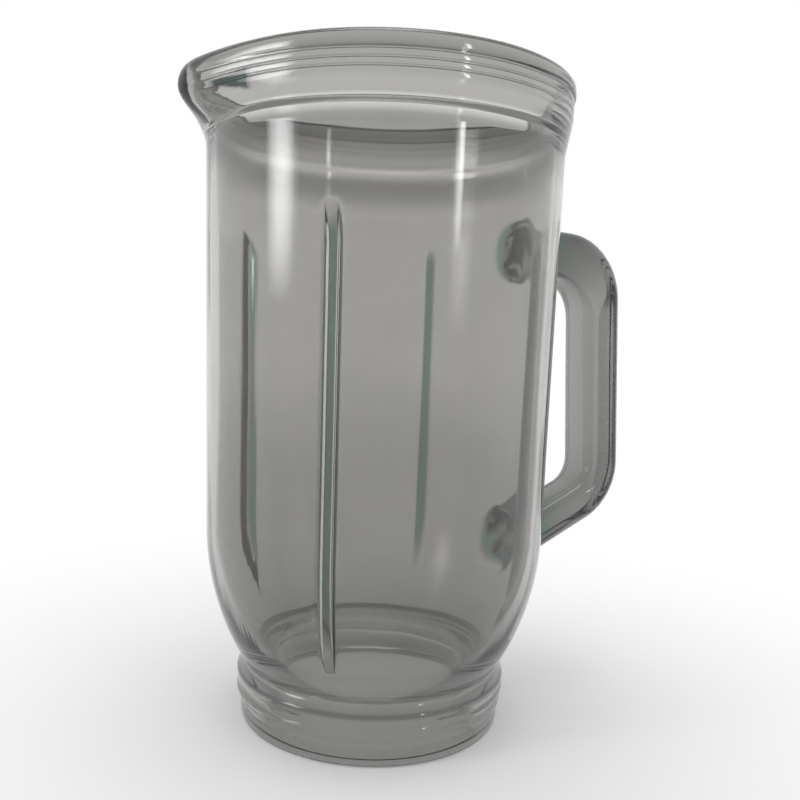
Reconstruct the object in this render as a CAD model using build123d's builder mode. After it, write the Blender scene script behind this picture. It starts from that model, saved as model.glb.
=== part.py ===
from build123d import *
import math
import os

# Glass blender jar, moulded in one piece. Millimetres, +Z up.
# The origin is on the jar's axis at the base, the handle points to +X and the spout to -X.

# Body
height = 201.5
wall = 3.3
body_top_radius = 56.0
body_low_radius = 54.3
body_low_z = 62.0

# Shoulder, neck and collar
neck_radius = 41.6
neck_z = 19.0
neck_round = 1.5
collar_radius = 43.8
collar_top_z = 16.0
collar_low_z = 8.0
collar_round = 1.2
foot_radius = 42.4
foot_height = 6.2
foot_round = 1.8

# Opening in the base, for the blade unit
bore_radius = 33.0
bore_top_z = 17.0
bore_round = 1.0

# Rim and mouth, for the lid
rim_depth = 21.5
band_radius = 58.0
band_depth = 11.1
bead_radius = 58.5
bead_height = 4.6
bead_groove = 0.5
bead_round = 2.6
bead_low_round = 0.8
ring_drop_upper = 7.4
ring_drop_lower = 9.5
ring_groove = 0.4
mouth_radius = 54.0
mouth_depth = 15.8
mouth_round = 1.2
ledge_drop = 1.6

# Pouring spout
spout_reach = 66.2
spout_depth = 18.0
spout_nose_drop = 8.1
spout_half_angle = 46.0
spout_tip_round = 0.06
spout_wall = 4.8
spout_overlap = 1.5
spout_nose_points = 13
spout_rise_levels = 6
spout_fall_levels = 4

# Inner ribs
rib_handle_angle = 41.4
rib_spout_angle = 48.6
rib_width = 3.2
rib_height = 5.0
rib_crest_round = 1.5
rib_root_round = 2.0
rib_drop = 41.5
rib_run_out = 12.0
rib_toe = 0.78

# Handle
handle_drop = 39.0
handle_top_fall = 1.8
handle_low_z = 65.1
handle_root_z = 45.3
handle_reach_top = 92.4
handle_reach_low = 97.7
handle_thick = 14.0
handle_upper_thick = 15.5
handle_lower_thick = 9.0
handle_width = 20.0
handle_edge_round = 6.0
handle_outer_round = 23.0
handle_upper_inner_round = 15.5
handle_lower_inner_round = 9.0
handle_upper_root_round = 5.0
handle_lower_root_round = 4.0

# Reach within which an edge or a corner is picked
same_corner = 0.01
root_search = 1.0

# Worked out from the sizes above
inner_top_radius = body_top_radius - wall
inner_low_radius = body_low_radius - wall
rim_low_z = height - rim_depth
band_low_z = height - band_depth
spout_root_z = height - spout_depth
spout_nose_z = height - spout_nose_drop
rib_top_z = height - rib_drop
mouth_low_z = height - mouth_depth
bead_low_z = height - bead_height
groove_z = bead_low_z - bead_groove
channel_reach = spout_reach - spout_wall
handle_hidden_end = inner_low_radius - handle_thick
handle_top_z = height - handle_drop
handle_corner_z = handle_top_z - handle_top_fall
handle_top_slope = handle_top_fall / (handle_reach_top - body_top_radius)
handle_low_slope = (handle_low_z - handle_root_z) / (handle_reach_low - body_low_radius)
handle_lean = (handle_reach_low - handle_reach_top) / (handle_corner_z - handle_low_z)


def nearest(sketch, *places):
    """The corners of a sketch that lie nearest to the given places."""
    return [sketch.vertices().sort_by_distance(place)[0] for place in places]


def ends_at(edge, *places):
    """Whether an edge ends at one of the given places, as seen along Y."""
    return any(math.hypot(v.X - x, v.Z - z) < same_corner for v in edge.vertices() for x, z in places)


def steps(low, high, count):
    """Evenly spaced values from low to high."""
    return [low + (high - low) * i / (count - 1) for i in range(count)]


def spout_share(angle):
    """Share of the spout's reach at an angle from its middle: 1 at the tip, 0 at the two ends."""
    part = abs(angle) / spout_half_angle
    full = math.hypot(1, spout_tip_round) - spout_tip_round
    return (1 - (math.hypot(part, spout_tip_round) - spout_tip_round) / full) ** 2


def beak(radius, levels):
    """A round solid with a pouring beak, through sections given as (height, reach of the beak)."""
    with BuildPart() as solid:
        for z, reach in levels:
            nose = []
            for angle in steps(-spout_half_angle, spout_half_angle, spout_nose_points):
                out = radius + (reach - radius) * spout_share(angle)
                turn = math.radians(180 + angle)
                nose.append((out * math.cos(turn), out * math.sin(turn)))
            ends = [(-y, x) for x, y in (nose[0], nose[-1])]
            with BuildSketch(Plane.XY.offset(z)):
                with BuildLine():
                    Spline(*nose, tangents=ends)
                    ThreePointArc(nose[-1], (radius, 0), nose[0])
                make_face()
        loft()
    return solid.part


# Outside of the spout: it swells from the wall to the nose, then falls away from the rim
spout_base = mouth_radius + spout_overlap
spout_levels = []
for turn in steps(0, 90, spout_rise_levels):
    up = math.sin(math.radians(turn))
    z = spout_root_z + (spout_nose_z - spout_root_z) * turn / 90
    spout_levels.append((z, spout_base + (spout_reach - spout_base) * up))
for turn in steps(0, 90, spout_fall_levels + 1)[1:]:
    out = math.cos(math.radians(turn))
    z = spout_nose_z + (height - spout_nose_z) * math.sin(math.radians(turn))
    spout_levels.append((z, bead_radius + (spout_reach - bead_radius) * out))
spout = beak(spout_base, spout_levels)

# Channel of the spout, cut into the wall of the mouth
channel_base = mouth_radius - spout_overlap
channel_levels = []
for turn in steps(0, 90, spout_rise_levels):
    up = math.sin(math.radians(turn))
    z = mouth_low_z + (spout_nose_z - mouth_low_z) * turn / 90
    channel_levels.append((z, channel_base + (channel_reach - channel_base) * up))
channel_levels.append(((spout_nose_z + height) / 2, channel_reach))
channel_levels.append((height, channel_reach))
channel = beak(channel_base, channel_levels)

# Inner wall and the floor that curves from it into the base opening
with BuildLine() as inner_wall:
    inner_line = Line((inner_low_radius, body_low_z), (inner_top_radius, mouth_low_z - ledge_drop))
with BuildLine() as inner_floor:
    TangentArc((inner_low_radius, body_low_z), (bore_radius, bore_top_z), tangent=(inner_line % 0) * -1)

# One rib, standing on the inner wall in the XZ plane and running out at both ends
lean = (inner_line % 0).X / (inner_line % 0).Y
crest_top_z = rib_top_z - rib_run_out
crest_low = (inner_low_radius - rib_height, body_low_z)
crest_top = (crest_low[0] + lean * (crest_top_z - body_low_z), crest_top_z)
with BuildPart() as rib:
    with BuildSketch(Plane.XZ):
        with BuildLine():
            back_top = (inner_low_radius + lean * (rib_top_z - body_low_z) + wall / 2, rib_top_z)
            back_low = (inner_low_radius + wall / 2, body_low_z)
            toe = inner_floor.line @ rib_toe + Vector(wall / 2, 0)
            Line(crest_low, crest_top)
            TangentArc(crest_top, back_top, tangent=inner_line % 0)
            Line(back_top, back_low)
            TangentArc(back_low, toe, tangent=(inner_line % 0) * -1)
            TangentArc(crest_low, toe, tangent=(inner_line % 0) * -1)
        make_face()
    extrude(amount=rib_width / 2, both=True)
    sides = rib.edges().filter_by(Plane.XZ)
    fillet([edge for edge in sides if ends_at(edge, crest_low, crest_top)], rib_crest_round)

# Handle, a closed ring whose inner side lies hidden in the body
top_corner = (handle_reach_top, handle_corner_z)
low_corner = (handle_reach_low, handle_low_z)
gap_top_z = handle_corner_z - handle_upper_thick
gap_low_z = handle_low_z + handle_lower_thick
gap_top = (handle_reach_top + handle_lean * handle_upper_thick - handle_thick, gap_top_z)
gap_low = (handle_reach_low - handle_lean * handle_lower_thick - handle_thick, gap_low_z)
gap_hidden_end = handle_hidden_end + handle_thick / 2
with BuildPart() as handle:
    with BuildSketch(Plane.XZ) as side:
        with BuildLine():
            Polyline(
                (handle_hidden_end, handle_corner_z + handle_top_slope * (top_corner[0] - handle_hidden_end)),
                top_corner,
                low_corner,
                (handle_hidden_end, handle_low_z - handle_low_slope * (low_corner[0] - handle_hidden_end)),
                close=True,
            )
        make_face()
        fillet(nearest(side, top_corner, low_corner), handle_outer_round)
        with BuildLine():
            Polyline(
                (gap_hidden_end, gap_top_z + handle_top_slope * (gap_top[0] - gap_hidden_end)),
                gap_top,
                gap_low,
                (gap_hidden_end, gap_low_z - handle_low_slope * (gap_low[0] - gap_hidden_end)),
                close=True,
            )
        make_face(mode=Mode.SUBTRACT)
        fillet(nearest(side, gap_top), handle_upper_inner_round)
        fillet(nearest(side, gap_low), handle_lower_inner_round)
    extrude(amount=handle_width / 2, both=True)
    sides = handle.edges().group_by(Axis.Y)
    fillet(
        [edge for edge in sides[0] + sides[-1] if edge.center().X > gap_hidden_end + handle_edge_round],
        handle_edge_round,
    )

# Two fine grooves round the band of the rim
rings = []
for drop in (ring_drop_upper, ring_drop_lower):
    ring_z = height - drop
    rings.append((band_radius, ring_z + ring_groove))
    rings.append((band_radius - ring_groove, ring_z))
    rings.append((band_radius, ring_z - ring_groove))

with BuildPart() as jar:
    # Outside, from the base to the rim
    with BuildSketch(Plane.YZ) as outside:
        with BuildLine():
            wall_line = Line((body_low_radius, body_low_z), (body_top_radius, rim_low_z))
            TangentArc((body_low_radius, body_low_z), (neck_radius, neck_z), tangent=(wall_line % 0) * -1)
            Polyline(
                (neck_radius, neck_z),
                (collar_radius, collar_top_z),
                (collar_radius, collar_low_z),
                (foot_radius, foot_height),
                (foot_radius, 0),
                (0, 0),
                (0, height),
                (bead_radius, height),
                (bead_radius, bead_low_z),
                (band_radius - bead_groove, groove_z),
                (band_radius, groove_z - bead_groove),
                *rings,
                (band_radius, band_low_z),
                (body_top_radius, rim_low_z),
            )
        make_face()
        fillet(nearest(outside, (neck_radius, neck_z)), neck_round)
        fillet(nearest(outside, (collar_radius, collar_top_z), (collar_radius, collar_low_z)), collar_round)
        fillet(nearest(outside, (foot_radius, 0)), foot_round)
        fillet(nearest(outside, (bead_radius, height)), bead_round)
        fillet(nearest(outside, (bead_radius, bead_low_z)), bead_low_round)
    revolve(axis=Axis.Z)

    # Handle, with soft roots
    add(handle.part)
    roots = [
        edge
        for edge in jar.edges(Select.NEW)
        if math.hypot(edge.center().X, edge.center().Y) < body_top_radius + root_search
    ]
    middle_z = (handle_top_z + handle_root_z) / 2
    fillet([edge for edge in roots if edge.center().Z > middle_z], handle_upper_root_round)
    fillet([edge for edge in roots if edge.center().Z < middle_z], handle_lower_root_round)

    # Spout, then the inside from the base opening to the mouth
    add(spout)
    with BuildSketch(Plane.YZ) as inside:
        with BuildLine():
            add(inner_wall.line)
            add(inner_floor.line)
            Line((bore_radius, bore_top_z), (bore_radius, bore_round))
            TangentArc((bore_radius, bore_round), (bore_radius + bore_round, 0), tangent=(0, -1))
            Polyline((bore_radius + bore_round, 0), (0, 0), (0, height), (mouth_radius + mouth_round, height))
            TangentArc(
                (mouth_radius, height - mouth_round),
                (mouth_radius + mouth_round, height),
                tangent=(0, 1),
            )
            Polyline(
                (mouth_radius, height - mouth_round),
                (mouth_radius, mouth_low_z),
                (inner_top_radius, mouth_low_z - ledge_drop),
            )
        make_face()
        fillet(nearest(inside, (bore_radius, bore_top_z)), bore_round)
    revolve(axis=Axis.Z, mode=Mode.SUBTRACT)
    add(channel, mode=Mode.SUBTRACT)

    # Ribs, in a pair beside the handle and a pair beside the spout, with soft roots
    rib_angles = (rib_handle_angle, 180 - rib_spout_angle, rib_spout_angle - 180, -rib_handle_angle)
    add([rib.part.rotate(Axis.Z, angle) for angle in rib_angles])
    fillet([edge for edge in jar.edges(Select.NEW) if edge.is_interior], rib_root_round)

jar.part.label = "jar"
os.makedirs("parts", exist_ok=True)
export_step(jar.part, "parts/jar.step")
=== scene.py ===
import math

import bmesh
import bpy
import numpy as np
from mathutils import Matrix, Vector


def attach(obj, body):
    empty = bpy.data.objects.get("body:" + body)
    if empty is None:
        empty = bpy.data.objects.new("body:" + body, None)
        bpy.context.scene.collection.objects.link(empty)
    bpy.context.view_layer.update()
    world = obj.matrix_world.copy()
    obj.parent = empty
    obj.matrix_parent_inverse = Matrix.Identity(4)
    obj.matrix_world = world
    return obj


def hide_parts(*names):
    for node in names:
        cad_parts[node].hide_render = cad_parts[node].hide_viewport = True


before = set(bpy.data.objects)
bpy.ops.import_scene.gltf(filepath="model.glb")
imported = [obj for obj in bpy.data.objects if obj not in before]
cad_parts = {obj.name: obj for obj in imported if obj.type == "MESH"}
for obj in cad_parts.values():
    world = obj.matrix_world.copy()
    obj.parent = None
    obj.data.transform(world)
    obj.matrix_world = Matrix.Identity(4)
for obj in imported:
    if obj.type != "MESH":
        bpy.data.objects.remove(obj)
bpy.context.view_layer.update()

# Camera, found by fitting the jar's rings and edges to the photograph
CAMERA_DISTANCE = 0.2763
CAMERA_HEIGHT = 0.1266
CAMERA_TURN = math.radians(26.6)
CAMERA_PITCH = math.radians(4.909)
CAMERA_ROLL = math.radians(1.792)
FOCAL_PIXELS = 850.0
IMAGE_PIXELS = 800.0
PRINCIPAL_X = 377.88

# Sizes of the jar in millimetres, as in the part's source; places in the section are (radius, height)
MM = 0.001
HEIGHT = 201.5
BODY_TOP, BODY_LOW = (56.0, 180.0), (54.3, 62.0)
INNER_TOP, INNER_LOW = (52.7, 184.1), (51.0, 62.0)
NECK, NECK_ROUND = (41.6, 19.0), 1.5
COLLAR_RADIUS, COLLAR_TOP, COLLAR_LOW, COLLAR_ROUND = 43.8, 16.0, 8.0, 1.2
FOOT_RADIUS, FOOT_HEIGHT, FOOT_ROUND = 42.4, 6.2, 1.8
BORE_RADIUS, BORE_TOP, BORE_ROUND = 33.0, 17.0, 1.0
BAND_RADIUS, BAND_LOW, BAND_ROUND = 58.0, 190.4, 4.0
BEAD_RADIUS, BEAD_LOW, BEAD_ROUND, BEAD_LOW_ROUND, BEAD_GROOVE = 58.5, 196.9, 2.6, 0.8, 0.5
RING_HEIGHTS, RING_GROOVE = (194.1, 192.0), 0.4
MOUTH_RADIUS, MOUTH_LOW, MOUTH_ROUND = 54.0, 185.7, 1.2
EDGE_ROUND = 0.35
SPOUT_REACH, SPOUT_NOSE, SPOUT_ROOT, SPOUT_CHANNEL, SPOUT_LIP_ROUND = 66.2, 193.4, 182.6, 61.4, 0.8
SPOUT_ANGLE, SPOUT_HALF_ANGLE, SPOUT_TIP_ROUND = 180.0, 33.0, 0.08
RIB_ANGLES = (41.4, 131.4, -131.4, -41.4)
RIB_HEIGHT, RIB_HALF_WIDTH, RIB_ROOT = 5.0, 1.6, 2.0
RIB_CREST_TOP, RIB_RUN_OUT, RIB_FALL, RIB_TOE = 148.0, 12.0, 6.65, 0.76
RIB_RADIUS = 48.0
THREAD_PITCH, THREAD_DEPTH, THREAD_WIDTH, THREAD_FADE = 5.0, 0.5, 2.4, 1.5
THREAD_TOP, THREAD_LOW = 14.5, 6.4
HANDLE_WIDTH, HANDLE_EDGE, HANDLE_THICK = 20.0, 6.0, 14.0
HANDLE_TOP, HANDLE_TOP_FALL, HANDLE_TOP_THICK, HANDLE_TOP_ROOT = (92.4, 160.7), 1.8, 15.5, 5.0
HANDLE_LOW, HANDLE_LOW_FALL, HANDLE_LOW_THICK, HANDLE_LOW_ROOT = (97.7, 65.1), 19.8, 9.0, 4.0
HANDLE_OUTER_ROUND, HANDLE_TOP_INNER_ROUND, HANDLE_LOW_INNER_ROUND = 23.0, 15.5, 9.0

# Tint of the glass where it is grey, on the ribs and at the handle's roots; on the spout's flanks a
# near-black green: thick glass's green deepened with painted shade
WALL_TINT = np.array((1.0, 0.985, 0.955))
RIB_TINT = np.array((0.06, 0.115, 0.09))
ROOT_TINT = np.array((0.06, 0.14, 0.105))
FLANK_GREEN_AND_SHADE = np.array((0.005, 0.013, 0.009))

# Share of light that the grey lets through: by height up to the brim as (height, share), darker towards the
# body's bottom, with painted shade just below the flare and along the bead's lower half; then painted light
# on the ledge and painted shade on the collar's upper edge; how much less it is on the handle's grip and two
# arms, and the grip's ends
BODY_GREYS = ((75.0, 0.48), (115.0, 0.57), (170.0, 0.57))
FLARE_GREYS_AND_SHADE = ((176.0, 0.33), (180.5, 0.28), (182.5, 0.42), (189.5, 0.45))
RIM_GREYS_AND_SHADE = ((191.0, 0.39), (196.4, 0.38), (197.2, 0.23), (199.5, 0.34), (201.0, 0.45))
# Painted light: the ledge is nearly clear, lighter than the glass above and below it
LEDGE_PAINTED_LIGHT = 0.95
# Painted shade: a dark ring along the collar's upper edge, where it meets the neck
COLLAR_EDGE_SHADE, COLLAR_SHADE_REACH = 0.15, 1.3
GRIP_SHADE, TOP_ARM_SHADE, LOW_ARM_SHADE = 0.4, 0.78, 0.5
GRIP_TOP, GRIP_LOW = 135.0, 85.0

# Where the green lies: up a rib, out from the wall on an arm, and, with painted shade, along each flank in
# degrees from the spout
RIB_GREEN_START, RIB_GREEN_END = 0.3, 0.9
ROOT_START, ROOT_REACH = 2.0, 76.0
FLANK_START, FLANK_END, FLANK_HEIGHT, FLANK_REACH = 9.5, 24.0, 191.3, 2.5
FLANK_EDGE, FLANK_POINT, FLANK_BACK = 0.6, 0.2, 1.1

# How finely the mesh is divided: millimetres along the section, most points on one run, degrees of a round
RUN_STEP, COLLAR_STEP, RUN_MOST = 0.9, 0.5, 56
ROUND_STEP = 20.0
ARC_POINTS = 42

# Degrees between sections, degrees round a rib that its own sections take, and where those lie across the rib
TURN_STEP, SPOUT_STEP, RIB_CLEAR = 2.5, 1.25, 5.3
RIB_CREST_SHARES = np.array((0, 0.375, 0.75, 0.9, 0.98, 1.02))
RIB_ROOT_SHARES = np.array((0.1, 0.25, 0.5, 0.75, 1.0, 1.3))

# Points on the handle, how far out the rings of its roots lie as shares of the root, and how deep they end
HANDLE_ROUND_POINTS, HANDLE_RUN_POINTS, HANDLE_CORNER_POINTS = 14, 8, 8
ROOT_RING_SHARES = np.array((1.0, 0.8, 0.6, 0.42, 0.27, 0.15, 0.07, 0.02))
ROOT_DEPTH, ROOT_TRIES = 1.6, 6
ARM_SHARES = (0.2, 0.4, 0.6, 0.8)
SHARP_ANGLE = math.radians(50)


def between(a, b, step):
    """Points on the straight run from a to b, without its ends."""
    count = min(int(np.linalg.norm(np.subtract(b, a)) / step), RUN_MOST)
    return [np.add(a, np.subtract(b, a) * (i + 1) / (count + 1)) for i in range(count)]


def swing(centre, start, end, count):
    """Points of the arc about a centre from start to end, with both."""
    a, b = start - centre, end - centre
    turn = math.acos(np.clip(a @ b / (a @ a), -1, 1))
    points = []
    for share in np.linspace(0, 1, count + 1):
        way = a * math.sin(turn * (1 - share)) + b * math.sin(turn * share)
        points.append(centre + way / math.sin(turn))
    return points


def bend(before, corner, after, size, count=None):
    """Points of the round at a corner between two straight runs."""
    corner = np.array(corner, float)
    u = np.array(before, float) - corner
    v = np.array(after, float) - corner
    u /= np.linalg.norm(u)
    v /= np.linalg.norm(v)
    half = math.acos(np.clip(u @ v, -1, 1)) / 2
    middle = (u + v) / np.linalg.norm(u + v)
    centre = corner + middle * size / math.sin(half)
    away = size / math.tan(half)
    if count is None:
        count = max(2, round((180 - math.degrees(2 * half)) / ROUND_STEP))
    return swing(centre, corner + u * away, corner + v * away, count)


def rounded(corners, step):
    """Points along straight runs joined by rounds, from corners given as (radius, height, round)."""
    places = [np.array(corner[:2], float) for corner in corners]
    points = [places[0]]
    for i in range(1, len(places) - 1):
        turn = bend(places[i - 1], places[i], places[i + 1], corners[i][2])
        points += between(points[-1], turn[0], step) + turn
    return points + between(points[-1], places[-1], step) + [places[-1]]


def arc_from_wall(top, low, end):
    """Points of the arc that leaves a wall smoothly at its lower end and reaches another place."""
    top, low, end = np.array(top), np.array(low), np.array(end)
    along = (low - top) / np.linalg.norm(low - top)
    inward = np.array([along[1], -along[0]])
    chord = end - low
    return swing(low + inward * (chord @ chord) / (2 * (inward @ chord)), low, end, ARC_POINTS)


def section():
    """The jar's section: a part's name and a place for each point, up the inside and down the outside."""
    floor = arc_from_wall(INNER_TOP, INNER_LOW, (BORE_RADIUS, BORE_TOP))[::-1]
    shoulder = arc_from_wall(BODY_TOP, BODY_LOW, NECK)

    # Points of each arc that give way to the round at its end
    skip = 3
    foot_middle = ((BORE_RADIUS + FOOT_RADIUS) / 2, 0, 0)
    top_middle = ((MOUTH_RADIUS + MOUTH_ROUND + BEAD_RADIUS - BEAD_ROUND) / 2, HEIGHT, 0)
    base = rounded([
        foot_middle,
        (BORE_RADIUS, 0, BORE_ROUND),
        (BORE_RADIUS, BORE_TOP, BORE_ROUND),
        (*floor[skip], 0),
    ], RUN_STEP)
    inside = rounded([
        (*INNER_LOW, 0),
        (*INNER_TOP, EDGE_ROUND),
        (MOUTH_RADIUS, MOUTH_LOW, EDGE_ROUND),
        (MOUTH_RADIUS, HEIGHT, MOUTH_ROUND),
        top_middle,
    ], RUN_STEP)
    groove = BEAD_LOW - BEAD_GROOVE
    rings = []
    for z in RING_HEIGHTS:
        rings.append((BAND_RADIUS, z + RING_GROOVE, EDGE_ROUND))
        rings.append((BAND_RADIUS - RING_GROOVE, z, EDGE_ROUND))
        rings.append((BAND_RADIUS, z - RING_GROOVE, EDGE_ROUND))
    outside = rounded([
        top_middle,
        (BEAD_RADIUS, HEIGHT, BEAD_ROUND),
        (BEAD_RADIUS, BEAD_LOW, BEAD_LOW_ROUND),
        (BAND_RADIUS - BEAD_GROOVE, groove, EDGE_ROUND),
        (BAND_RADIUS, groove - BEAD_GROOVE, EDGE_ROUND),
        *rings,
        (BAND_RADIUS, BAND_LOW, BAND_ROUND),
        (*BODY_TOP, BAND_ROUND),
        (*BODY_LOW, 0),
    ], RUN_STEP)
    collar = rounded([
        (*shoulder[-skip], 0),
        (*NECK, NECK_ROUND),
        (COLLAR_RADIUS, COLLAR_TOP, COLLAR_ROUND),
        (COLLAR_RADIUS, COLLAR_LOW, COLLAR_ROUND),
        (FOOT_RADIUS, FOOT_HEIGHT, EDGE_ROUND),
        (FOOT_RADIUS, 0, FOOT_ROUND),
        foot_middle,
    ], COLLAR_STEP)
    named = [("base", point) for point in base]
    named += [("floor", point) for point in floor[skip + 1:-1]]
    named += [("mouth" if point[1] > MOUTH_LOW else "inner", point) for point in inside]
    named += [("rim" if point[1] > BODY_TOP[1] else "outer", point) for point in outside[1:]]
    named += [("shoulder", point) for point in shoulder[1:-skip]]
    named += [("collar", point) for point in collar[:-1]]
    return np.array([name for name, _ in named]), np.array([point for _, point in named])


def share_along(path):
    """How far along a path each of its points lies, from 0 to 1."""
    run = np.linalg.norm(np.diff(path, axis=0), axis=1)
    return np.concatenate([[0], np.cumsum(run)]) / run.sum()


def spout_places(names, points):
    """Where the points of the section lie in the middle of the spout."""
    rise = np.sin(np.linspace(0, math.pi / 2, ARC_POINTS))
    level = np.linspace(0, 1, ARC_POINTS)
    fall = np.linspace(0, math.pi / 2, ARC_POINTS)
    beak_top = np.stack([
        BEAD_RADIUS + (SPOUT_REACH - BEAD_RADIUS) * np.sin(fall),
        SPOUT_NOSE + (HEIGHT - SPOUT_NOSE) * np.cos(fall),
    ], axis=1)
    beak_top = beak_top[beak_top[:, 0] > SPOUT_CHANNEL]
    beak_under = np.stack([
        BODY_TOP[0] + (SPOUT_REACH - BODY_TOP[0]) * rise,
        SPOUT_ROOT + (SPOUT_NOSE - SPOUT_ROOT) * level,
    ], axis=1)[::-1]
    channel = np.stack([
        MOUTH_RADIUS + (SPOUT_CHANNEL - MOUTH_RADIUS) * rise,
        MOUTH_LOW + (SPOUT_NOSE - MOUTH_LOW) * level,
    ], axis=1)

    # Lip between channel and beak, which takes the place of the beak's first points
    skip = 4
    lip = bend(channel[-1], (SPOUT_CHANNEL, beak_top[0][1]), beak_top[skip - 1], SPOUT_LIP_ROUND)
    middle = len(lip) // 2
    paths = {
        "mouth": np.concatenate([channel, lip[:middle + 1]]),
        "rim": np.concatenate([lip[middle + 1:], beak_top[skip:], beak_under, [BODY_TOP]]),
    }
    places = points.copy()
    for name, path in paths.items():
        chosen = names == name
        at = share_along(points[chosen])
        for axis in range(2):
            places[chosen, axis] = np.interp(at, share_along(path), path[:, axis])
    return places


def angles_around():
    """Angles of the jar's sections in degrees, closer together on the ribs and the spout."""
    crest = RIB_HALF_WIDTH * RIB_CREST_SHARES
    root = RIB_HALF_WIDTH + RIB_ROOT * RIB_ROOT_SHARES
    fine = np.degrees(np.concatenate([crest, root]) / RIB_RADIUS)
    angles = np.arange(-180, 180, TURN_STEP)
    for rib in RIB_ANGLES:
        angles = angles[np.abs(angles - rib) > RIB_CLEAR]
        angles = np.concatenate([angles, rib + fine, rib - fine[1:]])
    spout = np.arange(-SPOUT_HALF_ANGLE, SPOUT_HALF_ANGLE + SPOUT_STEP, SPOUT_STEP)
    for angle in (SPOUT_ANGLE + spout + 180) % 360 - 180:
        if np.abs(angles - angle).min() > SPOUT_STEP / 2:
            angles = np.append(angles, angle)
    return np.sort(angles)


def rib_share(across):
    """Height of a rib's cross-section, as a share, at a distance in millimetres from its middle."""
    across = np.abs(across)
    crest = RIB_HEIGHT - RIB_HALF_WIDTH + np.sqrt(np.clip(RIB_HALF_WIDTH**2 - across**2, 0, None))
    slope = np.clip(RIB_HALF_WIDTH + RIB_ROOT - across, 0, RIB_ROOT)
    foot = RIB_ROOT - np.sqrt(RIB_ROOT**2 - slope**2)
    return np.where(across < RIB_HALF_WIDTH, crest, foot) / RIB_HEIGHT


def rib_heights(names, points):
    """Height of a rib at each point of the section: full on the wall, running out at both ends."""
    height = np.zeros(len(points))
    inner, floor = names == "inner", names == "floor"
    run = np.clip((points[inner, 1] - RIB_CREST_TOP) / RIB_RUN_OUT, 0, None)
    height[inner] = RIB_HEIGHT - RIB_FALL * run**2
    reach = np.linspace(1, 0, floor.sum()) / RIB_TOE
    height[floor] = RIB_HEIGHT * (1 - reach**2)
    return np.clip(height, 0, None)


def spout_share(angle):
    """Share of the spout's shape at an angle: 1 at its tip, 0 at its two ends and beyond."""
    off = abs((angle - SPOUT_ANGLE + 180) % 360 - 180) / SPOUT_HALF_ANGLE
    full = math.hypot(1, SPOUT_TIP_ROUND) - SPOUT_TIP_ROUND
    return max(0.0, 1 - (math.hypot(off, SPOUT_TIP_ROUND) - SPOUT_TIP_ROUND) / full) ** 2


def thread_cut(names, points, angle):
    """How deep the fine thread is cut into the collar at each point of the section."""
    z = points[:, 1]
    turn = (z - THREAD_PITCH * angle / 360) % THREAD_PITCH
    ridge = np.clip(1 - np.abs(turn - THREAD_PITCH / 2) / (THREAD_WIDTH / 2), 0, 1)
    ridge = ridge * ridge * (3 - 2 * ridge)
    fade = np.clip((THREAD_TOP - z) / THREAD_FADE, 0, 1) * np.clip((z - THREAD_LOW) / THREAD_FADE, 0, 1)
    return np.where(names == "collar", THREAD_DEPTH * (1 - ridge) * fade, 0)


def body_points():
    """The jar without its handle: points in millimetres, by angle and by place in the section."""
    names, points = section()
    spout = spout_places(names, points)
    height = rib_heights(names, points)
    step = np.roll(points, -1, axis=0) - np.roll(points, 1, axis=0)
    inward = np.stack([-step[:, 1], step[:, 0]], axis=1)
    inward /= np.linalg.norm(inward, axis=1)[:, None]
    rows = []
    for angle in angles_around():
        place = points + (spout - points) * spout_share(angle)
        for rib in RIB_ANGLES:
            across = math.radians((angle - rib + 180) % 360 - 180) * RIB_RADIUS
            place = place + inward * (height * rib_share(across))[:, None]
        radius = place[:, 0] - thread_cut(names, points, angle)
        turn = math.radians(angle)
        rows.append(np.stack([radius * math.cos(turn), radius * math.sin(turn), place[:, 1]], axis=1))
    return np.array(rows)


def outer_radius(z):
    """Radius of the outside of the body at a height below the rim."""
    shoulder = np.array(arc_from_wall(BODY_TOP, BODY_LOW, NECK))[::-1]
    profile = np.concatenate([shoulder, [BODY_TOP]])
    return np.interp(z, profile[:, 1], profile[:, 0])


def bar_outline():
    """Outline of the handle's bar: places across and through it, and the outward direction at each."""
    places, ways = [], []
    for quarter, (side, face) in enumerate(((1, 1), (-1, 1), (-1, -1), (1, -1))):
        centre = np.array((side * (HANDLE_WIDTH / 2 - HANDLE_EDGE), face * (HANDLE_THICK / 2 - HANDLE_EDGE)))
        for turn in np.radians(90 * (quarter + np.linspace(0, 1, HANDLE_CORNER_POINTS + 1))):
            ways.append((math.cos(turn), math.sin(turn)))
            places.append(centre + HANDLE_EDGE * np.array(ways[-1]))
    return np.array(places), np.array(ways)


def handle_sides():
    """The handle's side profile from arm to arm: its outer line and its inner line, point by point."""
    top, low = np.array(HANDLE_TOP), np.array(HANDLE_LOW)
    lean = (low[0] - top[0]) / (top[1] - low[1])
    top_way = np.array((BODY_TOP[0] - top[0], HANDLE_TOP_FALL))
    low_way = np.array((BODY_LOW[0] - low[0], -HANDLE_LOW_FALL))
    gap_top = top + np.array((lean * HANDLE_TOP_THICK - HANDLE_THICK, -HANDLE_TOP_THICK))
    gap_low = low + np.array((-lean * HANDLE_LOW_THICK - HANDLE_THICK, HANDLE_LOW_THICK))
    lines = []
    for high, deep, high_round, deep_round in (
        (top, low, HANDLE_OUTER_ROUND, HANDLE_OUTER_ROUND),
        (gap_top, gap_low, HANDLE_TOP_INNER_ROUND, HANDLE_LOW_INNER_ROUND),
    ):
        first = bend(high + top_way, high, deep, high_round, HANDLE_ROUND_POINTS)
        last = bend(high, deep, deep + low_way, deep_round, HANDLE_ROUND_POINTS)
        grip = list(np.linspace(first[-1], last[0], HANDLE_RUN_POINTS + 2)[1:-1])
        lines.append(np.array(first + grip + last))
    return lines[0], lines[1], top_way, low_way


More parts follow.
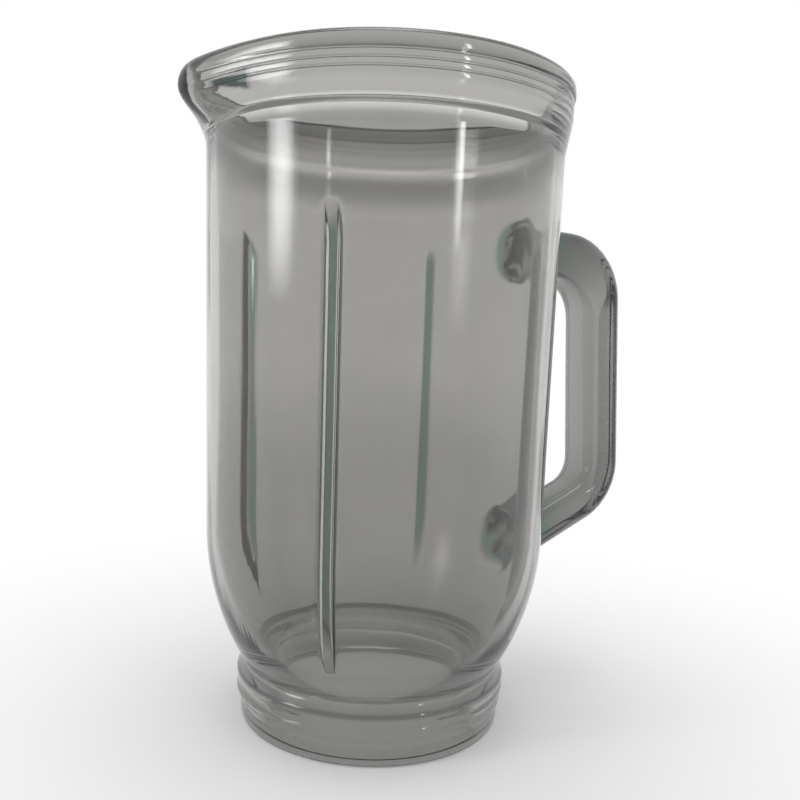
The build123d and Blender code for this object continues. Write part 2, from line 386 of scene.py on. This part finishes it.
def root_rings(ring, spread, way, size):
    """Rings of an arm from where its root begins to swell to just inside the wall."""
    way = np.array((way[0], 0, way[1])) / np.hypot(*way)
    swell = size * ROOT_RING_SHARES
    rings = []
    for away in (*swell, -ROOT_DEPTH):
        rise = size - max(away, swell[-1])
        points = ring + spread * (size - math.sqrt(size**2 - rise**2))
        for _ in range(ROOT_TRIES):
            gap = np.hypot(points[:, 0], points[:, 1]) - outer_radius(points[:, 2])
            points = points + way * (gap - away)[:, None]
        rings.append(points)
    return rings


def handle_points():
    """The handle as rings of points: a rounded bar along its bent side profile, swelling into the wall."""
    outer, inner, top_way, low_way = handle_sides()
    places, ways = bar_outline()
    side = np.array((0, 1, 0))
    rings, spreads = [], []
    for a, b in zip(outer, inner):
        through = np.array((a[0] - b[0], 0, a[1] - b[1]))
        middle = np.array((a[0] + b[0], 0, a[1] + b[1])) / 2
        rings.append(middle + places[:, :1] * side + places[:, 1:] * through / HANDLE_THICK)
        spreads.append(ways[:, :1] * side + ways[:, 1:] * through / np.linalg.norm(through))
    first = root_rings(rings[0], spreads[0], top_way, HANDLE_TOP_ROOT)[::-1]
    last = root_rings(rings[-1], spreads[-1], low_way, HANDLE_LOW_ROOT)
    first_arm = [first[-1] + (rings[0] - first[-1]) * share for share in ARM_SHARES]
    last_arm = [rings[-1] + (last[0] - rings[-1]) * share for share in ARM_SHARES]
    return np.array(first + first_arm + rings + last_arm + last)


def mesh_object(name, rows, closed):
    """A mesh object from rows of points in millimetres, whose first and last rows join or are capped."""
    count, columns = rows.shape[:2]
    faces = []
    for i in range(count if closed else count - 1):
        here, there = i * columns, (i + 1) % count * columns
        for j in range(columns):
            k = (j + 1) % columns
            faces.append((here + j, there + j, there + k, here + k))
    if not closed:
        faces.append(tuple(range(columns)))
        faces.append(tuple(range((count - 1) * columns, count * columns)))
    mesh = bpy.data.meshes.new(name)
    mesh.from_pydata((rows.reshape(-1, 3) * MM).tolist(), [], faces)
    form = bmesh.new()
    form.from_mesh(mesh)
    bmesh.ops.recalc_face_normals(form, faces=form.faces)
    form.to_mesh(mesh)
    form.free()
    made = bpy.data.objects.new(name, mesh)
    bpy.context.scene.collection.objects.link(made)
    return made


def ramp(value, low, high):
    """Rises smoothly from 0 at low to 1 at high."""
    share = np.clip((value - low) / (high - low), 0, 1)
    return share * share * (3 - 2 * share)


def vertex_vectors(mesh, kind):
    """The places or the normals of a mesh's points."""
    values = np.zeros(len(mesh.vertices) * 3)
    mesh.vertices.foreach_get(kind, values)
    return values.reshape(-1, 3)


def on_handle(x, radius, z):
    """How far out from the wall each point lies on the handle, from 0 at the wall to 1 from its roots on."""
    beside = (x > 0) & (z > NECK[1]) & (z < BODY_TOP[1])
    return beside * ramp(radius - outer_radius(z), EDGE_ROUND, ROOT_START)


def on_rib(radius, z):
    """How green each point is on a rib, from 0 at its foot to 1 on its crest."""
    names, points = section()
    lining = points[(names == "floor") | (names == "inner")]
    inner = np.interp(z, lining[:, 1], lining[:, 0])
    on_lining = (z > lining[0, 1]) & (z < INNER_TOP[1])
    return on_lining * ramp((inner - radius) / RIB_HEIGHT, RIB_GREEN_START, RIB_GREEN_END)


def on_flank(x, y, z):
    """How dark each point is in the wedge on each flank of the spout, from 0 to 1: painted shade over the
    green of thick glass.
    """
    off = np.abs(np.degrees(np.arctan2(y, -x)))
    along = (off - FLANK_START) / (FLANK_END - FLANK_START)
    outside = np.abs(z - FLANK_HEIGHT) - FLANK_REACH * along
    return ramp(outside, FLANK_EDGE, 0) * ramp(along, 0, FLANK_POINT) * ramp(along, FLANK_BACK, 1)


def grey_and_shading_at(radius, z, handle):
    """Share of light that the grey of the glass lets through at each point, with painted shade and painted
    light in places.
    """
    # Painted shade just below the flare and along the bead's lower half, and darker towards the body's bottom
    heights, shares = zip(*BODY_GREYS, *FLARE_GREYS_AND_SHADE, *RIM_GREYS_AND_SHADE)
    grey = np.interp(z, heights, shares)
    # Painted light: the ledge is left nearly clear
    at_ledge = (z > INNER_TOP[1] - EDGE_ROUND) & (z < MOUTH_LOW + EDGE_ROUND)
    grey = np.where(at_ledge & (radius < MOUTH_RADIUS + EDGE_ROUND), LEDGE_PAINTED_LIGHT, grey)
    # Painted shade: a dark ring along the collar's upper edge
    collar_shade = ramp(np.hypot(z - COLLAR_TOP, radius - COLLAR_RADIUS), COLLAR_SHADE_REACH, EDGE_ROUND)
    grey = grey + (COLLAR_EDGE_SHADE - grey) * collar_shade
    shade = GRIP_SHADE + (TOP_ARM_SHADE - GRIP_SHADE) * ramp(z, GRIP_TOP, HANDLE_TOP[1])
    shade = shade + (LOW_ARM_SHADE - GRIP_SHADE) * ramp(z, GRIP_LOW, HANDLE_LOW[1])
    return grey * (1 - handle * shade)


def blend(tint_and_painted_shading, other, share):
    """Tints moved towards another tint by a share at each point."""
    return tint_and_painted_shading + (other - tint_and_painted_shading) * share[:, None]


def paint_tint_and_shading(mesh):
    """Writes the tint of the glass at each point: grey in the wall and the handle, green in thick glass, and
    painted shade and painted light in places.
    """
    x, y, z = vertex_vectors(mesh, "co").T / MM
    across, along, _ = vertex_vectors(mesh, "normal").T
    faces_out = across * x + along * y > 0
    radius = np.hypot(x, y)
    handle = on_handle(x, radius, z)
    at_root = handle * ramp(radius, ROOT_REACH, BODY_TOP[0])
    tint_and_painted_shading = grey_and_shading_at(radius, z, handle)[:, None] * WALL_TINT
    tint_and_painted_shading = blend(tint_and_painted_shading, RIB_TINT, on_rib(radius, z))
    tint_and_painted_shading = blend(tint_and_painted_shading, ROOT_TINT, at_root)
    # Painted shade: a near-black green wedge on the outside of each spout flank
    tint_and_painted_shading = blend(tint_and_painted_shading, FLANK_GREEN_AND_SHADE, faces_out * on_flank(x, y, z))
    colours = np.ones((len(z), 4), np.float32)
    colours[:, :3] = tint_and_painted_shading
    mesh.attributes.new("tint_and_painted_shading", "FLOAT_COLOR", "POINT").data.foreach_set("color", colours.ravel())


def jar_piece():
    """The jar's glass in one mesh: the body with its spout, ribs and thread, and the handle grown onto it."""
    body = mesh_object("jar_glass", body_points(), True)
    handle = mesh_object("handle", handle_points(), False)
    join = body.modifiers.new("join", "BOOLEAN")
    join.operation = "UNION"
    join.solver = "EXACT"
    join.object = handle
    bpy.context.view_layer.update()
    whole = bpy.data.meshes.new_from_object(body.evaluated_get(bpy.context.evaluated_depsgraph_get()))
    body.modifiers.clear()
    body.data = whole
    bpy.data.objects.remove(handle)
    whole.shade_smooth()
    whole.set_sharp_from_angle(angle=SHARP_ANGLE)
    paint_tint_and_shading(whole)
    return body


def node(tree, kind, operation=None, **settings):
    """Adds a shader node, with its operation if it has one, and sets its inputs by name."""
    made = tree.nodes.new(kind)
    if operation:
        made.operation = operation
    for name, value in settings.items():
        made.inputs[name.replace("_", " ")].default_value = value
    return made


def empty_material(name):
    """A material with only its output node: the material, its node tree and the output."""
    material = bpy.data.materials.new(name)
    material.use_nodes = True
    tree = material.node_tree
    tree.nodes.clear()
    return material, tree, tree.nodes.new("ShaderNodeOutputMaterial")


def glass_material():
    """Pressed soda-lime glass: grey in the wall, green where it is thick, with painted shade and painted
    light in places, slightly wavy and cloudy.
    """
    material, tree, out = empty_material("jar_glass")
    link = tree.links.new
    shader = node(tree, "ShaderNodeBsdfPrincipled", IOR=1.5, Transmission_Weight=1.0)

    # Colour: the tint of each place with its painted shade and painted light, slightly uneven
    place = node(tree, "ShaderNodeTexCoord")
    cloud = node(tree, "ShaderNodeTexNoise", Scale=28.0, Detail=2.0)
    uneven = node(tree, "ShaderNodeMapRange", To_Min=0.9, To_Max=1.1)
    tint_and_painted_shading = node(tree, "ShaderNodeAttribute")
    tint_and_painted_shading.attribute_name = "tint_and_painted_shading"
    colour = node(tree, "ShaderNodeVectorMath", "SCALE")
    link(place.outputs["Object"], cloud.inputs["Vector"])
    link(cloud.outputs["Fac"], uneven.inputs["Value"])
    link(tint_and_painted_shading.outputs["Color"], colour.inputs[0])
    link(uneven.outputs["Result"], colour.inputs["Scale"])
    link(colour.outputs["Vector"], shader.inputs["Base Color"])

    # Surface: long soft waves from the mould, and a faint haze that comes and goes
    stretch = node(tree, "ShaderNodeMapping", Scale=(1.0, 1.0, 0.25))
    wave = node(tree, "ShaderNodeTexNoise", Scale=70.0, Detail=1.0)
    bump = node(tree, "ShaderNodeBump", Strength=0.15, Distance=0.001)
    haze = node(tree, "ShaderNodeMapRange", To_Min=0.015, To_Max=0.07)
    link(place.outputs["Object"], stretch.inputs["Vector"])
    link(stretch.outputs["Vector"], wave.inputs["Vector"])
    link(wave.outputs["Fac"], bump.inputs["Height"])
    link(bump.outputs["Normal"], shader.inputs["Normal"])
    link(cloud.outputs["Fac"], haze.inputs["Value"])
    link(haze.outputs["Result"], shader.inputs["Roughness"])

    # Depth: a faint green that gathers along the light's way through the glass
    absorb = node(tree, "ShaderNodeVolumeAbsorption", Color=(0.25, 0.33, 0.285, 1), Density=14.0)
    link(shader.outputs["BSDF"], out.inputs["Surface"])
    link(absorb.outputs["Volume"], out.inputs["Volume"])
    return material


def seen_rays(tree):
    """1 for rays from the camera, off a gloss or through glass, and 0 for rays that only carry light."""
    path = node(tree, "ShaderNodeLightPath")
    seen = path.outputs["Is Camera Ray"]
    for kind in ("Is Glossy Ray", "Is Transmission Ray"):
        either = node(tree, "ShaderNodeMath", "MAXIMUM")
        tree.links.new(seen, either.inputs[0])
        tree.links.new(path.outputs[kind], either.inputs[1])
        seen = either.outputs[0]
    return seen


def pale_floor():
    """A plain pale floor that keeps the jar's shadow and runs out into white."""
    reach, near, far, glow = 6.0, 0.04, 0.26, 0.18
    mesh = bpy.data.meshes.new("floor")
    corners = [(-reach, -reach, 0), (reach, -reach, 0), (reach, reach, 0), (-reach, reach, 0)]
    mesh.from_pydata(corners, [], [(0, 1, 2, 3)])
    floor = bpy.data.objects.new("floor", mesh)
    bpy.context.scene.collection.objects.link(floor)
    material, tree, out = empty_material("floor")
    link = tree.links.new
    paint = node(tree, "ShaderNodeBsdfDiffuse", Color=(0.9, 0.9, 0.9, 1))
    white = node(tree, "ShaderNodeEmission", Color=(1, 1, 1, 1), Strength=1.0)
    place = node(tree, "ShaderNodeTexCoord")
    length = node(tree, "ShaderNodeVectorMath", "LENGTH")
    # Painted light: the faint glow near the jar lightens its shadow; from the far reach on the floor glows
    # fully white for the rays that see it
    fade = node(tree, "ShaderNodeMapRange", From_Min=near, From_Max=far, To_Min=glow)
    fade.interpolation_type = "SMOOTHSTEP"
    shown = node(tree, "ShaderNodeMath", "MULTIPLY")
    mix = node(tree, "ShaderNodeMixShader")
    link(place.outputs["Object"], length.inputs[0])
    link(length.outputs["Value"], fade.inputs["Value"])
    link(fade.outputs["Result"], shown.inputs[0])
    link(seen_rays(tree), shown.inputs[1])
    link(shown.outputs[0], mix.inputs[0])
    link(paint.outputs[0], mix.inputs[1])
    link(white.outputs[0], mix.inputs[2])
    link(mix.outputs[0], out.inputs["Surface"])
    mesh.materials.append(material)
    return floor


def soft_lamp(name, place, width, height, watts):
    """A rectangular lamp aimed at the jar, brightest in its middle and fading out towards its edges."""
    data = bpy.data.lights.new(name, "AREA")
    data.shape = "RECTANGLE"
    data.size, data.size_y, data.energy = width, height, watts
    data.use_nodes = True
    tree = data.node_tree
    link = tree.links.new

    # Strength at (u, v) on the lamp is u (1 - u) v (1 - v), divided by its mean to keep the lamp's power
    mean = 1 / 36
    spot = node(tree, "ShaderNodeNewGeometry")
    rest = node(tree, "ShaderNodeVectorMath", "SUBTRACT")
    rest.inputs[0].default_value = (1, 1, 0)
    inside = node(tree, "ShaderNodeVectorMath", "MULTIPLY")
    split = node(tree, "ShaderNodeSeparateXYZ")
    fade = node(tree, "ShaderNodeMath", "MULTIPLY")
    gain = node(tree, "ShaderNodeMath", "DIVIDE")
    gain.inputs[1].default_value = mean
    link(spot.outputs["Parametric"], rest.inputs[1])
    link(spot.outputs["Parametric"], inside.inputs[0])
    link(rest.outputs[0], inside.inputs[1])
    link(inside.outputs[0], split.inputs[0])
    link(split.outputs["X"], fade.inputs[0])
    link(split.outputs["Y"], fade.inputs[1])
    link(fade.outputs[0], gain.inputs[0])
    link(gain.outputs[0], tree.nodes["Emission"].inputs["Strength"])
    lamp = bpy.data.objects.new(name, data)
    bpy.context.scene.collection.objects.link(lamp)
    lamp.location = place
    aim = Vector((0, 0, HEIGHT * MM / 2)) - Vector(place)
    lamp.rotation_euler = aim.to_track_quat("-Z", "Y").to_euler()


def white_world():
    """White surroundings that turn grey overhead, dimmer as a light than as a background."""
    grey_start, grey_end, grey, light_strength = 0.4, 0.9, 0.3, 0.7
    world = bpy.data.worlds.new("studio")
    world.use_nodes = True
    bpy.context.scene.world = world
    tree = world.node_tree
    tree.nodes.clear()
    link = tree.links.new
    out = node(tree, "ShaderNodeOutputWorld")
    place = node(tree, "ShaderNodeTexCoord")
    split = node(tree, "ShaderNodeSeparateXYZ")
    overhead = node(tree, "ShaderNodeMapRange", From_Min=grey_start, From_Max=grey_end)
    overhead.inputs["To Min"].default_value = 1.0
    overhead.inputs["To Max"].default_value = grey
    light = node(tree, "ShaderNodeBackground", Color=(1, 1, 1, 1), Strength=light_strength)
    white = node(tree, "ShaderNodeBackground", Color=(1, 1, 1, 1))
    mix = node(tree, "ShaderNodeMixShader")
    link(place.outputs["Generated"], split.inputs[0])
    link(split.outputs["Z"], overhead.inputs["Value"])
    link(overhead.outputs["Result"], white.inputs["Strength"])
    link(seen_rays(tree), mix.inputs[0])
    link(light.outputs[0], mix.inputs[1])
    link(white.outputs[0], mix.inputs[2])
    link(mix.outputs[0], out.inputs["Surface"])


def photo_camera():
    """The camera at the photograph's place."""
    data = bpy.data.cameras.new("camera")
    data.sensor_width = 36.0
    data.lens = FOCAL_PIXELS / IMAGE_PIXELS * data.sensor_width
    data.shift_x = (IMAGE_PIXELS / 2 - PRINCIPAL_X) / IMAGE_PIXELS
    data.clip_start = 0.01
    camera = bpy.data.objects.new("camera", data)
    bpy.context.scene.collection.objects.link(camera)
    right = Vector((math.cos(CAMERA_TURN), -math.sin(CAMERA_TURN), 0))
    level = Vector((math.sin(CAMERA_TURN), math.cos(CAMERA_TURN), 0))
    ahead = level * math.cos(CAMERA_PITCH) - Vector((0, 0, 1)) * math.sin(CAMERA_PITCH)
    up = right.cross(ahead)
    x_axis = right * math.cos(CAMERA_ROLL) + up * math.sin(CAMERA_ROLL)
    y_axis = up * math.cos(CAMERA_ROLL) - right * math.sin(CAMERA_ROLL)
    place = -level * CAMERA_DISTANCE + Vector((0, 0, CAMERA_HEIGHT))
    turned = Matrix((x_axis, y_axis, -ahead)).transposed().to_4x4()
    camera.matrix_world = Matrix.Translation(place) @ turned
    bpy.context.scene.camera = camera


jar = jar_piece()
jar.data.materials.clear()
jar.data.materials.append(glass_material())
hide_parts("jar")
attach(jar, "root")
pale_floor()
soft_lamp("window", place=(-1.0, 0.02, 0.38), width=0.36, height=0.5, watts=2.4)
soft_lamp("spark", place=(0.3, -0.95, 0.4), width=0.07, height=0.4, watts=0.6)
soft_lamp("ceiling", place=(0.0, 0.0, 1.4), width=0.9, height=0.9, watts=4.0)
white_world()
photo_camera()
bpy.context.scene.view_settings.view_transform = "Standard"
